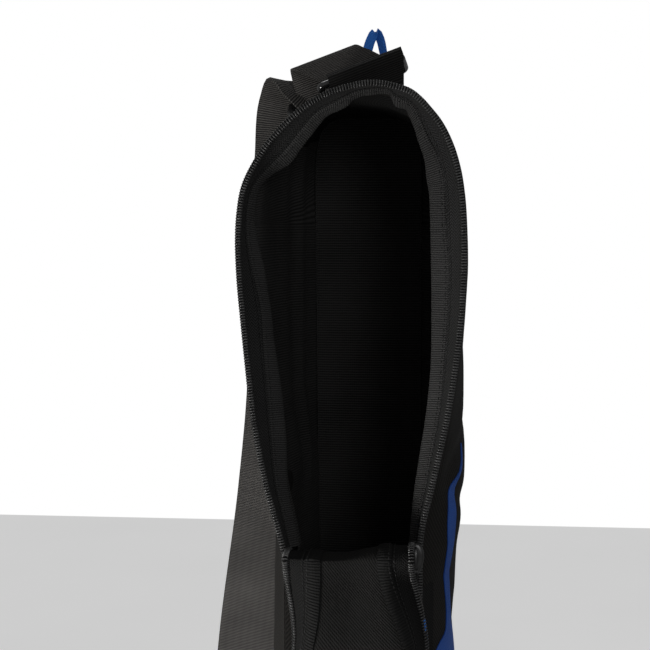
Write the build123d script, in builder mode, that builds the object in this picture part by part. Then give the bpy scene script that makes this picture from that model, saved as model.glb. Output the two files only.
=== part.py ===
"""A soft hockey stick bag, standing on its blade end, with its long zipper mouth open at the front.

+Z runs up the length of the bag, the mouth faces -Y and the origin is the centre of the flat base.
The shell is a loft through four outlines, from the rim of the mouth back to the back panel, and the
panels are that shell split along its seams. A lining stands just inside it in the same way.
"""

import math
import os

from build123d import *

os.makedirs("parts", exist_ok=True)

# ---- driving dimensions, mm ----
bag_length = 1650.0  # base to the top of the rim
depth_top = 150.0  # front to back at the butt end
depth_base = 300.0  # front to back at the blade end
back_half = 43.0  # half widths of the four outlines
belly_half = 60.0
shoulder_half = 66.0
mouth_half = 68.0
fold_half = 42.0  # half width of the front at the fold of the flap and below it
shoulder_depth = 35.0  # how far the shoulder outline stands behind the rim
belly_to_back = 55.0  # how far the belly outline stands in front of the back
mouth_drop = 284.0  # top of the rim down to the fold of the flap
widest_drop = 84.0  # top of the rim down to the widest place of the mouth
wall = 2.5  # outer fabric with its foam
lining_gap = 1.0
lining = 1.6
base_thickness = 3.0
board_thickness = 2.0

tape_width = 12.0  # zipper tape
binding_width = 9.0
coil_width = 3.2
coil_height = 3.2
zip_gap = 1.7  # between the two closed halves, where the slider's web runs
zip_end_z = 250.0  # lower end of the long zipper

flap_half = 34.5
flap_length = 292.0
flap_skin = 1.5
flap_stack = 3.0  # lining side of the flap
fold_reach = 22.5  # how far the hanging flap stands in front of the front panel
hinge_reach = 13.0
flap_clearance = 0.5

slider_length = 16.0
slider_half = 5.5
slider_plate = 2.4
slider_web = 0.8
slider_clearance = 0.4
bail_radius = 0.8
bail_reach = 2.2  # crossbar centre in front of the slider's plate
pull_half = 1.7
pull_length = 14.0
pull_plate = 1.6
pull_cord_length = 15.0

webbing_width = 50.0
webbing = 1.8
bar_radius = 2.5
ring_inner_height = 15.0
ring_corner = 3.2
ring_clearance = 0.4
ring_roll = 20.0  # how far the top ring's bar is tipped out of level, degrees
top_ring_lean = 70.0  # how far it is laid back from hanging, degrees
lower_ring_lean = 15.0
tab_reach = 90.0  # top tab's bar, behind the rim
tab_rise = 17.0  # and above it
lower_ring_z = 500.0
patch_thickness = 1.2

loop_rise = 54.0  # hang loop above the top of the bag
loop_ribbon = 5.0

# ---- places worked out from them ----
front_y = -depth_base / 2
back_y = depth_base / 2
fold_z = bag_length - mouth_drop
widest_z = bag_length - widest_drop
ring_inner_width = webbing_width + 2.0
zip_x = fold_half - wall - zip_gap / 2
panel_edge = zip_x - zip_gap / 2

X_AXIS = Vector(1, 0, 0)
up_slope = Vector(0, depth_top - depth_base, bag_length).normalized()
sloped_normal = X_AXIS.cross(up_slope)


def back_at(z):
    """Where the outside of the back panel stands at a height."""
    return back_y - (depth_base - depth_top) * z / bag_length


def upright(y):
    return Plane(origin=(0, y, 0), x_dir=X_AXIS, z_dir=(0, -1, 0))


def sloped(y):
    """A plane parallel to the back panel that meets the base at y."""
    return Plane(origin=(0, y, 0), x_dir=X_AXIS, z_dir=sloped_normal)


def outline(plane, low, high, roundness, drop, inset, floor):
    """The bag's outline in one plane: straight legs, a flank that swells and a rounded top."""
    rise = plane.y_dir.Z
    low, high = low - inset, high - inset
    crown = bag_length - drop - inset - widest_z
    flank_steps, top_steps = 3, 6

    def flank(step):
        share = step / flank_steps
        half = high - (high - low) * (1 - share) ** 2
        return half, (fold_z + (widest_z - fold_z) * share) / rise

    def dome(step):
        turn = math.radians(90.0 * step / top_steps)
        across = high * math.cos(turn) ** (2 / roundness)
        return across, (widest_z + crown * math.sin(turn) ** (2 / roundness)) / rise

    right = [flank(i) for i in range(flank_steps)] + [dome(i) for i in range(top_steps)]
    left = [(-x, z) for x, z in reversed(right)]
    top = (0.0, (widest_z + crown) / rise)
    swell, climb = 2 * (high - low), (widest_z - fold_z) / rise
    with BuildLine() as drawn:
        Line((-low, floor / rise), (low, floor / rise))
        Line((low, floor / rise), right[0])
        Spline(*right, top, *left, tangents=[(swell, climb), (swell, -climb)])
        Line(left[-1], (-low, floor / rise))
    return plane.location * Face(drawn.wire())


rim_shape = (fold_half, mouth_half, 2.0, 0.0)


def hull(inset, floor, ahead=0.0):
    """The four outlines of the bag, moved in by inset. ahead carries an open mouth past the rim."""
    return [
        outline(upright(front_y - ahead), *rim_shape, inset, floor),
        outline(upright(front_y + shoulder_depth), belly_half, shoulder_half, 2.2, 1.0, inset, floor),
        outline(sloped(back_y - belly_to_back), belly_half, belly_half, 3.0, 3.0, inset, floor),
        outline(sloped(back_y - inset), back_half, back_half, 5.0, 4.0, inset, floor),
    ]


def box_between(low, high):
    """A box from its lowest to its highest corner, for cutting with."""
    size = [h - l for l, h in zip(low, high)]
    middle = [(h + l) / 2 for l, h in zip(low, high)]
    with BuildPart() as made:
        with BuildSketch(Plane.XY.offset(low[2])):
            with Locations((middle[0], middle[1])):
                Rectangle(size[0], size[1])
        extrude(amount=size[2])
    return made.part


def write(made, name):
    made.label = name
    export_step(made, f"parts/{name}.step")


# ---- outer shell ----
far = 400.0
mouth_zone = box_between(
    (-far, front_y - 5, fold_z), (far, front_y + tape_width, bag_length + 50)
)
zip_zone = box_between((0, front_y - 5, zip_end_z), (far, front_y + tape_width, fold_z))

seam_hub = Vector(0, 0, bag_length - 90)
left_seam = Plane(origin=seam_hub, x_dir=(0, 1, 0), z_dir=(1, 0, 1))
right_seam = Plane(origin=seam_hub, x_dir=(0, 1, 0), z_dir=(-1, 0, 1))
floor_plane = Plane.XY.offset(base_thickness)

with BuildPart() as outer_form:
    loft(sections=hull(0, 0), ruled=True)

with BuildPart() as inner_form:
    loft(sections=hull(wall, base_thickness, ahead=1.0), ruled=True)

with BuildPart() as shell:
    add(outer_form.part)
    add(inner_form.part, mode=Mode.SUBTRACT)

with BuildPart() as base_panel:
    add(shell.part)
    split(bisect_by=floor_plane, keep=Keep.BOTTOM)

with BuildPart() as walls:
    add(shell.part)
    split(bisect_by=floor_plane, keep=Keep.TOP)

with BuildPart() as back_panel:
    add(walls.part)
    split(bisect_by=sloped(back_y - wall), keep=Keep.BOTTOM)

with BuildPart() as gusset:
    add(walls.part)
    split(bisect_by=sloped(back_y - wall), keep=Keep.TOP)

with BuildPart() as mouth_zipper_tape:
    add(gusset.part)
    add(mouth_zone + zip_zone, mode=Mode.INTERSECT)

with BuildPart() as side_band:
    add(gusset.part)
    add(mouth_zone, mode=Mode.SUBTRACT)
    add(zip_zone, mode=Mode.SUBTRACT)

with BuildPart() as left_side_panel:
    add(side_band.part)
    split(bisect_by=Plane.YZ, keep=Keep.BOTTOM)
    split(bisect_by=left_seam, keep=Keep.BOTTOM)

with BuildPart() as right_side_panel:
    add(side_band.part)
    split(bisect_by=Plane.YZ, keep=Keep.TOP)
    split(bisect_by=right_seam, keep=Keep.BOTTOM)

with BuildPart() as top_end_panel:
    add(side_band.part)
    split(bisect_by=left_seam, keep=Keep.TOP)
    split(bisect_by=right_seam, keep=Keep.TOP)

# ---- lining ----
lining_outside = wall + lining_gap
lining_inside = lining_outside + lining
lining_floor = base_thickness + board_thickness
mouth_plane = upright(front_y + tape_width)
binding_plane = upright(front_y + tape_width + binding_width)

with BuildPart() as lining_form:
    loft(sections=hull(lining_outside, lining_floor, ahead=1.0), ruled=True)

with BuildPart() as room_form:
    loft(sections=hull(lining_inside, lining_floor - 1, ahead=2.0), ruled=True)

with BuildPart() as lining_shell:
    add(lining_form.part)
    add(room_form.part, mode=Mode.SUBTRACT)
    split(bisect_by=mouth_plane, keep=Keep.BOTTOM)

with BuildPart() as lining_back:
    add(lining_shell.part)
    split(bisect_by=sloped(back_y - lining_inside), keep=Keep.BOTTOM)

with BuildPart() as lining_sides:
    add(lining_shell.part)
    split(bisect_by=sloped(back_y - lining_inside), keep=Keep.TOP)

binding_zone = box_between(
    (-far, front_y, fold_z), (far, front_y + tape_width + binding_width, bag_length + 50)
)

with BuildPart() as rim_binding:
    add(lining_sides.part)
    add(binding_zone, mode=Mode.INTERSECT)

with BuildPart() as lining_band:
    add(lining_sides.part)
    add(binding_zone, mode=Mode.SUBTRACT)

with BuildPart() as lining_left:
    add(lining_band.part)
    split(bisect_by=Plane.YZ, keep=Keep.BOTTOM)
    split(bisect_by=left_seam, keep=Keep.BOTTOM)

with BuildPart() as lining_right:
    add(lining_band.part)
    split(bisect_by=Plane.YZ, keep=Keep.TOP)
    split(bisect_by=right_seam, keep=Keep.BOTTOM)

with BuildPart() as lining_top:
    add(lining_band.part)
    split(bisect_by=left_seam, keep=Keep.TOP)
    split(bisect_by=right_seam, keep=Keep.TOP)

# the front of the lining closes the room below the fold
slope_out = (belly_half - fold_half) / shoulder_depth
lining_front_half = fold_half + slope_out * tape_width - lining_inside - 0.6
with BuildPart() as lining_front:
    with BuildSketch(upright(front_y + tape_width)):
        with Locations((0, (lining_floor + fold_z) / 2)):
            Rectangle(2 * lining_front_half, fold_z - lining_floor)
    extrude(amount=-lining)

# a stiff board keeps the blade end flat
with BuildPart() as base_board:
    add(inner_form.part)
    split(bisect_by=Plane.XY.offset(lining_floor), keep=Keep.BOTTOM)
    split(bisect_by=upright(front_y + 2 * wall), keep=Keep.BOTTOM)

# ---- front panel and the closed zipper beside it ----
tape_edge = panel_edge - tape_width


def front_plate(left, right, low, high, depth, start=0.0):
    """A plate on the front plane, start in front of it (minus for behind) and depth thick."""
    with BuildPart() as made:
        with BuildSketch(upright(front_y - start)):
            with Locations(((left + right) / 2, (low + high) / 2)):
                Rectangle(right - left, high - low)
        extrude(amount=depth)
    return made.part


front_panel = front_plate(wall - fold_half, tape_edge, base_thickness, fold_z, -wall)
panel_zipper_tape = front_plate(tape_edge, panel_edge, base_thickness, fold_z, -wall)
panel_zipper_coil = front_plate(
    panel_edge - coil_width, panel_edge, zip_end_z, fold_z, coil_height
)

with BuildPart() as mouth_zipper_coil:
    extrude(outline(upright(front_y), *rim_shape, wall - coil_width, 1.0), amount=coil_height)
    extrude(
        outline(upright(front_y), *rim_shape, wall, 0.0), amount=coil_height, mode=Mode.SUBTRACT
    )
    add(mouth_zone + zip_zone, mode=Mode.INTERSECT)

stop_drop = 5.0
zipper_top_stop = front_plate(
    -fold_half - 0.9, wall - fold_half + 0.2, fold_z - stop_drop, fold_z, coil_height + 1.2
)
zipper_bottom_stop = front_plate(
    zip_x - zip_gap / 2 - coil_width, fold_half, zip_end_z - 6, zip_end_z, coil_height + 1.0
)

# ---- flap: hangs open from the fold, lining side out ----
flap_back = fold_reach - flap_skin - flap_stack
flap_top = fold_z - flap_clearance


def flap_shape(inset):
    """The flap's outline, square at the fold and round at its tip."""
    half = flap_half - inset
    straight = flap_length - flap_half
    with BuildSketch(Plane.XY) as drawn:
        with Locations((0, flap_top - straight / 2)):
            Rectangle(2 * half, straight)
        with Locations((0, flap_top - straight)):
            Circle(half)
    return drawn.sketch


def flap_ring(outside, inside):
    """A band of the flap's lining side, between two insets of its outline."""
    with BuildPart() as made:
        with BuildSketch(upright(front_y - flap_back - flap_skin)):
            add(flap_shape(outside))
            if inside is not None:
                add(flap_shape(inside), mode=Mode.SUBTRACT)
        extrude(amount=flap_stack)
    return made.part


flap_tape_inset = coil_width + tape_width - 2.0
flap_zipper_coil = flap_ring(0, coil_width)
flap_zipper_tape = flap_ring(coil_width, flap_tape_inset)
flap_binding = flap_ring(flap_tape_inset, flap_tape_inset + 5.0)
flap_lining = flap_ring(flap_tape_inset + 5.0, None)

with BuildPart() as flap_outer:
    with BuildSketch(upright(front_y - flap_back)):
        add(flap_shape(coil_width))
    extrude(amount=flap_skin)

# the soft roll of fabric over which the flap folds
fold_centre = front_y + wall - (fold_reach + wall) / 2
with BuildPart() as flap_fold:
    with BuildSketch(Plane.YZ.offset(-flap_half)):
        with Locations((fold_centre, fold_z)):
            Circle((fold_reach + wall) / 2)
            Circle((fold_reach + wall) / 2 - wall, mode=Mode.SUBTRACT)
        with Locations((fold_centre, fold_z - far / 2)):
            Rectangle(far, far, mode=Mode.SUBTRACT)
    extrude(amount=flap_half + tape_edge)

# ---- slider and its pull ----
slider_top = fold_z - 2.0
slider_bottom = slider_top - slider_length
slider_front = coil_height + slider_clearance
bail_z = slider_top - 6.0
bail_forward = slider_front + slider_plate + bail_reach
post_width = 1.2
post_half = pull_half + slider_clearance

with BuildPart() as zipper_slider:
    add(
        front_plate(
            zip_x - slider_half, zip_x + slider_half, slider_bottom, slider_top,
            slider_plate, slider_front,
        )
    )
    fillet(zipper_slider.edges().filter_by(Axis.Y), 3.0)
    fillet(zipper_slider.faces().sort_by(Axis.Y)[0].edges(), 0.8)
    add(
        front_plate(
            zip_x - slider_half, zip_x + wall, slider_bottom, slider_top,
            -1.5, -(wall + slider_clearance),
        )
    )
    add(
        front_plate(
            zip_x - slider_web / 2, zip_x + slider_web / 2, slider_top - 7, slider_top,
            -(slider_front + wall + slider_clearance + 0.5), slider_front + 0.5,
        )
    )
    for side in (-1, 1):
        post = zip_x + side * (post_half + post_width / 2)
        add(
            front_plate(
                post - post_width / 2, post + post_width / 2, bail_z - 1.5, bail_z + 1.5,
                bail_reach + bail_radius, slider_front + slider_plate,
            )
        )
    with BuildSketch(Plane.YZ.offset(zip_x - post_half - 0.5)):
        with Locations((front_y - bail_forward, bail_z)):
            Circle(bail_radius)
    extrude(amount=2 * post_half + 1.0)

knuckle = bail_radius + 1.3
with BuildPart() as slider_pull:
    with BuildSketch(Plane.YZ.offset(zip_x - pull_half)):
        with Locations((front_y - bail_forward, bail_z)):
            Circle(knuckle)
        with Locations((front_y - bail_forward, bail_z - pull_length / 2)):
            Rectangle(pull_plate, pull_length)
        with Locations((front_y - bail_forward, bail_z)):
            Circle(bail_radius + 0.3, mode=Mode.SUBTRACT)
    extrude(amount=2 * pull_half)
    with BuildSketch(upright(front_y - bail_forward)):
        with Locations((zip_x, bail_z - pull_length + 2.9)):
            Rectangle(1.8, 2.6)
    extrude(amount=3, both=True, mode=Mode.SUBTRACT)

cord_width, cord_thickness = 1.4, 1.1
cord_y = front_y - bail_forward
cord_top = bail_z - pull_length + 3.4
cord_end = bail_z - pull_length - pull_cord_length
cord_depth = pull_plate + 2 * cord_thickness + 0.6
with BuildPart() as pull_cord:
    with BuildSketch(Plane.YZ.offset(zip_x - cord_width / 2)):
        with Locations((cord_y, (cord_top + cord_end) / 2)):
            RectangleRounded(cord_depth, cord_top - cord_end, 1.2)
            RectangleRounded(
                cord_depth - 2 * cord_thickness, cord_top - cord_end - 2 * cord_thickness, 0.4,
                mode=Mode.SUBTRACT,
            )
    extrude(amount=cord_width)

tip_half, tip_depth, tip_length = 2.0, 3.0, 9.0
with BuildPart() as pull_tip:
    with BuildSketch(Plane.XY.offset(cord_end - tip_length)):
        with Locations((zip_x, cord_y)):
            RectangleRounded(2 * tip_half, tip_depth, 0.9)
    extrude(amount=tip_length)


# ---- webbing tabs, rings and strap ----
def ring_axes(roll, lean):
    """The bar's direction, and the way from the held bar to the free one."""
    bar = Vector(math.cos(math.radians(roll)), 0, math.sin(math.radians(roll)))
    down = Vector(math.sin(math.radians(roll)), 0, -math.cos(math.radians(roll)))
    free = down * math.cos(math.radians(lean)) + Vector(0, 1, 0) * math.sin(math.radians(lean))
    return bar, free


def ring(held, roll, lean):
    """A rectangular ring of round bar, hung from its held bar."""
    bar, free = ring_axes(roll, lean)
    half_w = ring_inner_width / 2 + bar_radius
    height = ring_inner_height + 2 * bar_radius
    plane = Plane(origin=held, x_dir=bar, z_dir=bar.cross(free))
    with BuildPart() as made:
        with BuildLine(plane) as path:
            FilletPolyline(
                (-half_w, 0), (half_w, 0), (half_w, height), (-half_w, height),
                radius=ring_corner, close=True,
            )
        with BuildSketch(Plane(origin=held, x_dir=bar.cross(free), z_dir=bar)):
            Circle(bar_radius)
        sweep(path=path.wires()[0])
    return made.part


def sleeve(centre, bar, width):
    """The turn of webbing around a ring's bar."""
    with BuildPart() as made:
        with BuildSketch(Plane(origin=centre - bar * (width / 2), z_dir=bar)):
            Circle(bar_radius + ring_clearance + webbing)
            Circle(bar_radius + ring_clearance, mode=Mode.SUBTRACT)
        extrude(amount=width)
    return made.part


def bore(centre, bar, width):
    """What a ring's bar needs left free inside a turn of webbing."""
    with BuildPart() as made:
        with BuildSketch(Plane(origin=centre - bar * width, z_dir=bar)):
            Circle(bar_radius + ring_clearance)
        extrude(amount=2 * width)
    return made.part


def ribbon(stations, width, thickness, reference):
    """A strap lofted through stations along its centre line. reference is the across direction."""
    points = [Vector(*station) for station in stations]
    faces = []
    for i, point in enumerate(points):
        along = points[min(i + 1, len(points) - 1)] - points[max(i - 1, 0)]
        along = along.normalized()
        across = reference(point)
        across = (across - along * across.dot(along)).normalized()
        with BuildSketch(Plane(origin=point, x_dir=across, z_dir=along)) as cut:
            Rectangle(width, thickness)
        faces.append(cut.sketch.faces()[0])
    with BuildPart() as made:
        for start, end in zip(faces, faces[1:]):
            loft(sections=[start, end], ruled=True)
    return made.part


top_bar, top_free = ring_axes(ring_roll, top_ring_lean)
held_top = Vector(-2, front_y + tab_reach, bag_length + tab_rise)
ring_pitch = ring_inner_height + 2 * bar_radius
free_top = held_top + top_free * ring_pitch
top_ring = ring(held_top, ring_roll, top_ring_lean)

half_web = webbing_width / 2
tab_half_thickness = webbing
sleeve_radius = bar_radius + ring_clearance + webbing
tab_left = held_top - top_bar * half_web
tab_right = held_top + top_bar * half_web
with BuildPart() as top_tab:
    with BuildSketch(upright(front_y + tab_reach - sleeve_radius)):
        with BuildLine():
            Polyline(
                (tab_left.X, tab_left.Z), (tab_right.X, tab_right.Z),
                (tab_right.X + 5, tab_right.Z - 6), (tab_right.X + 6, bag_length - 30),
                (tab_left.X, bag_length - 30), close=True,
            )
        make_face()
    extrude(amount=-2 * tab_half_thickness)
    add(sleeve(held_top, top_bar, webbing_width))
    add(bore(held_top, top_bar, webbing_width), mode=Mode.SUBTRACT)
    add(outer_form.part, mode=Mode.SUBTRACT)
    add(top_ring, mode=Mode.SUBTRACT)

lower_held_gap = sleeve_radius + patch_thickness + 0.6
held_low = Vector(0, back_at(lower_ring_z) + lower_held_gap, lower_ring_z)
low_bar, low_free = ring_axes(0.0, lower_ring_lean)
free_low = held_low + low_free * ring_pitch
lower_ring = ring(held_low, 0.0, lower_ring_lean)

# the lower tab stands on a sewn patch and rises from it to the ring's bar
patch_width, patch_height = 66.0, 90.0
patch_middle = lower_ring_z + 48.0


def back_plate(width, low, high, thickness, start=0.0):
    """A plate lying on the back panel between two heights."""
    plane = Plane(origin=(0, back_y + start, 0), x_dir=(-1, 0, 0), z_dir=-sloped_normal)
    rise = up_slope.Z
    with BuildPart() as made:
        with BuildSketch(plane):
            with Locations((0, (low + high) / 2 / rise)):
                RectangleRounded(width, (high - low) / rise, 3.0)
        extrude(amount=thickness)
    return made.part


lower_patch = back_plate(
    patch_width, patch_middle - patch_height / 2, patch_middle + patch_height / 2,
    patch_thickness,
)
with BuildPart() as lower_tab:
    add(back_plate(webbing_width, lower_ring_z + 2, patch_middle + 30, 2 * webbing, patch_thickness))
    add(sleeve(held_low, low_bar, webbing_width))
    add(bore(held_low, low_bar, webbing_width), mode=Mode.SUBTRACT)
    add(lower_patch, mode=Mode.SUBTRACT)
    add(outer_form.part, mode=Mode.SUBTRACT)

# Strap: stations of its centre line. Over the top of the bag they are (x, behind the rim, above the
# top), and down its back (x, behind the back panel, below the top).
over_top = [(-23, 132, 4), (-35, 137, 15), (-46, 147, 17), (-54, 158, 2)]
down_back = [
    (-59, 14, 38), (-66, 26, 120), (-72, 37, 218), (-82, 52, 290), (-106, 83, 427),
    (-123, 99, 590), (-125, 107, 740), (-114, 108, 880), (-90, 106, 1000), (-62, 101, 1100),
    (-38, 92, 1180), (-22, 75, 1240),
]
drawn_drop = 1150.0  # top of the bag to the lower ring, as the stations down the back are given
up_to_ring = [(-22, 75, 90), (-10, 50, 122), (-3, 28, 108), (0, 17, 70)]
end_turns = [
    (-8, 112, 20), (-19, 115, 26), (-27, 118, 29), (-30, 122, 29), (-30, 127, 24), (-27, 130, 12),
    (-24, 132, 1),
]
stretch = (bag_length - lower_ring_z) / drawn_drop


def over(stations):
    return [(x, front_y + behind, bag_length + above) for x, behind, above in stations]


def behind_back(stations, top, share):
    heights = [
        top - min(below, drawn_drop) * share - max(below - drawn_drop, 0) for x, gap, below in stations
    ]
    return [(x, back_at(z) + gap, z) for (x, gap, below), z in zip(stations, heights)]


def strap_across(point):
    """Level along most of the strap, tipped like the top ring's bar where it leaves it."""
    share = max(0.0, min(1.0, (point.Z - (bag_length - 60)) / 60))
    roll = math.radians(ring_roll * share)
    return Vector(math.cos(roll), 0, math.sin(roll))


wrap = sleeve_radius - webbing / 2
main_run = over(over_top) + behind_back(down_back, bag_length, stretch)
with BuildPart() as shoulder_strap:
    add(ribbon(main_run, webbing_width, webbing, strap_across))

lower_run = behind_back(up_to_ring, lower_ring_z, 1.0) + [tuple(free_low - Vector(0, 0, wrap))]
with BuildPart() as strap_lower_end:
    add(ribbon(lower_run, webbing_width, webbing, strap_across))
    add(sleeve(free_low, low_bar, webbing_width))
    add(bore(free_low, low_bar, webbing_width), mode=Mode.SUBTRACT)
    add(lower_ring, mode=Mode.SUBTRACT)

end_run = [tuple(free_top + Vector(0, 0, wrap))] + over(end_turns)
with BuildPart() as strap_end_loop:
    add(ribbon(end_run, webbing_width - 4, webbing, strap_across))
    add(sleeve(free_top, top_bar, webbing_width - 4))
    add(bore(free_top, top_bar, webbing_width), mode=Mode.SUBTRACT)
    add(top_ring, mode=Mode.SUBTRACT)
    add(top_tab.part, mode=Mode.SUBTRACT)
    add(outer_form.part, mode=Mode.SUBTRACT)

glide_width = webbing_width + 10
glide_height, glide_thickness, glide_bar = 26.0, 3.2, 4.0
glide_tip = Vector(math.cos(math.radians(8)), 0, math.sin(math.radians(8)))
with BuildPart() as strap_triglide:
    with BuildSketch(
        Plane(origin=(-23, front_y + 129.5, bag_length + 2), x_dir=glide_tip, z_dir=(0, -1, 0))
    ):
        RectangleRounded(glide_width, glide_height, 3.0)
        for side in (-1, 1):
            with Locations((0, side * (glide_height - 2 * glide_bar) / 3.2)):
                Rectangle(webbing_width + 1.5, (glide_height - 3 * glide_bar) / 2, mode=Mode.SUBTRACT)
    extrude(amount=glide_thickness)
    add(outer_form.part, mode=Mode.SUBTRACT)

# ---- hang loop of narrow ribbon behind the top tab ----
loop_y = front_y + depth_top - 4.0
loop_foot = bag_length - 30.0
with BuildPart() as hang_loop:
    with BuildSketch(upright(loop_y)):
        with BuildLine():
            Polyline((-4, loop_foot), (3, bag_length + loop_rise), (8, bag_length + loop_rise),
                     (18, loop_foot), close=True)
        make_face()
        with BuildLine():
            Polyline((2, loop_foot - 1), (5.4, bag_length + loop_rise - 9), (12, loop_foot - 1),
                     close=True)
        make_face(mode=Mode.SUBTRACT)
    extrude(amount=loop_ribbon / 4, both=True)
    add(outer_form.part, mode=Mode.SUBTRACT)

# ---- coloured bands sewn on the flat of both sides ----
band_thickness = 0.6


def side_band_shape(side):
    """A long tapering band on the flat of one side, pointed at its upper end."""
    plane = Plane(origin=(side * belly_half, 0, 0), x_dir=(0, 1, 0), z_dir=(1, 0, 0))
    with BuildPart() as made:
        with BuildSketch(plane):
            with BuildLine():
                Polyline(
                    (front_y + 60, fold_z - 20), (front_y + 66, fold_z - 22),
                    (front_y + 92, 760), (front_y + 150, 330), (front_y + 118, 330),
                    (front_y + 74, 760), close=True,
                )
            make_face()
        extrude(amount=side * band_thickness)
    return made.part


pieces = {
    "back_panel": back_panel.part,
    "left_side_panel": left_side_panel.part,
    "right_side_panel": right_side_panel.part,
    "top_end_panel": top_end_panel.part,
    "front_panel": front_panel,
    "base_panel": base_panel.part,
    "base_board": base_board.part,
    "lining_back": lining_back.part,
    "lining_left": lining_left.part,
    "lining_right": lining_right.part,
    "lining_top": lining_top.part,
    "lining_front": lining_front.part,
    "rim_binding": rim_binding.part,
    "mouth_zipper_tape": mouth_zipper_tape.part,
    "mouth_zipper_coil": mouth_zipper_coil.part,
    "panel_zipper_tape": panel_zipper_tape,
    "panel_zipper_coil": panel_zipper_coil,
    "zipper_top_stop": zipper_top_stop,
    "zipper_bottom_stop": zipper_bottom_stop,
    "flap_fold": flap_fold.part,
    "flap_outer": flap_outer.part,
    "flap_lining": flap_lining,
    "flap_binding": flap_binding,
    "flap_zipper_tape": flap_zipper_tape,
    "flap_zipper_coil": flap_zipper_coil,
    "zipper_slider": zipper_slider.part,
    "slider_pull": slider_pull.part,
    "pull_cord": pull_cord.part,
    "pull_tip": pull_tip.part,
    "top_tab": top_tab.part,
    "top_ring": top_ring,
    "strap_end_loop": strap_end_loop.part,
    "strap_triglide": strap_triglide.part,
    "shoulder_strap": shoulder_strap.part,
    "strap_lower_end": strap_lower_end.part,
    "lower_patch": lower_patch,
    "lower_tab": lower_tab.part,
    "lower_ring": lower_ring,
    "hang_loop": hang_loop.part,
    "side_band_left": side_band_shape(-1),
    "side_band_right": side_band_shape(1),
}
for name, made in pieces.items():
    write(made, name)

print("top ring bar", tuple(held_top), "along", tuple(top_bar))
print("lower ring bar", tuple(held_low))
print("slider bail", zip_x, front_y - bail_forward, bail_z)
print("flap hinge", front_y - hinge_reach, fold_z)
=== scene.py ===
"""A soft hockey stick bag standing on its blade end, mouth open, as it looks from in front of its top."""

import math
import random

import bpy
import numpy as np
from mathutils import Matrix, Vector


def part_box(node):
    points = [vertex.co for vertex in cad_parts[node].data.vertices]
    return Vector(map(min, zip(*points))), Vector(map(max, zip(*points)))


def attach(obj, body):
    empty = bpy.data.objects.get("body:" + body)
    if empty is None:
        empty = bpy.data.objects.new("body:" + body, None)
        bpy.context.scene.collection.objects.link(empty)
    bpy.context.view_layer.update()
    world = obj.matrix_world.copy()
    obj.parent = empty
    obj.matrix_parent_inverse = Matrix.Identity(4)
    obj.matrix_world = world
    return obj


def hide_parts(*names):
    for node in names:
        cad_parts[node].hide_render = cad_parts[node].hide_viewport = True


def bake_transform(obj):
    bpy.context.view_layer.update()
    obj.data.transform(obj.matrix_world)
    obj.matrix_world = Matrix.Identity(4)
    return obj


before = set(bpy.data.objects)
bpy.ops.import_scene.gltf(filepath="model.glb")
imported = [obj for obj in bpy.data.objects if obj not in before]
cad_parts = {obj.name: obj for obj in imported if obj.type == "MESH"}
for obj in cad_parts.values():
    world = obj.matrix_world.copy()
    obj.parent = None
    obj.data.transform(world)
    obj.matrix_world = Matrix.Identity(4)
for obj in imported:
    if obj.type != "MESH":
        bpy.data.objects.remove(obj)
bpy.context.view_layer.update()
random.seed(7)
MM = 0.001
FORWARD, RIGHTWARD = [0, -1.0, 0], [1.0, 0, 0]
SHELL, LINING = 1.4, .9  # thickness of the outer cloth and of the lining, mm
RIM_TO_FOLD, RIM_TO_WIDEST = 284.0, 84.0  # heights below the top of the mouth, mm
ROLL, FLAP_HALF, FLAP_EDGE, TIP_RADIUS = 28, 38.0, 22.0, 48.0  # of the flap, mm
WAVE = 0.31416  # scale of a wave texture whose bands are 1 unit apart
WANDER = {"ribs": (.6, .8), "twill": (.5, .6), "herringbone": (.3, .5), "plain": (.6, .6)}  # of the two thread ways
TOOTH_PITCH, COIL_WIDE, THREAD = 1.7, 3.2, .27  # of the zippers and the stitches' radius, mm
BACK_COLUMNS = 17
FLOOR_HALF = 6.0  # metres

# ---- camera and light
# The photographer stood about 0.8 m in front of the rim, a little to the right.
scene = bpy.context.scene
rim_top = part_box("mouth_zipper_tape")[1][2]
cam_data = bpy.data.cameras.new("camera")
cam_data.lens = 74.0
cam_data.sensor_width = 36.0
cam_data.clip_start = 0.02
camera = bpy.data.objects.new("camera", cam_data)
camera.location = (0.060, -0.950, rim_top - 0.084)
camera.rotation_euler = (math.radians(90 - 4.28), 0, math.radians(5.47))
scene.collection.objects.link(camera)
scene.camera = camera
scene.view_settings.view_transform = "Standard"

world = bpy.data.worlds.new("white_room")
world.use_nodes = True
sky = world.node_tree
fill, seen_white = sky.nodes["Background"], sky.nodes.new("ShaderNodeBackground")
fill.inputs[0].default_value = seen_white.inputs[0].default_value = (1, 1, 1, 1)
fill.inputs[1].default_value, seen_white.inputs[1].default_value = 0.19, 1.0
ray, choose = sky.nodes.new("ShaderNodeLightPath"), sky.nodes.new("ShaderNodeMixShader")
for i, source in enumerate((ray.outputs["Is Camera Ray"], fill.outputs[0], seen_white.outputs[0])):
    sky.links.new(source, choose.inputs[i])
sky.links.new(choose.outputs[0], sky.nodes["World Output"].inputs[0])
scene.world = world


def area_light(name, place, target, size, power, colour=(1, 1, 1)):
    data = bpy.data.lights.new(name, "AREA")
    data.shape = "DISK"
    data.size = size
    data.energy = power
    data.color = colour
    lamp = bpy.data.objects.new(name, data)
    lamp.location = place
    lamp.rotation_euler = (Vector(target) - Vector(place)).to_track_quat("-Z", "Y").to_euler()
    scene.collection.objects.link(lamp)
    return lamp


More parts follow.
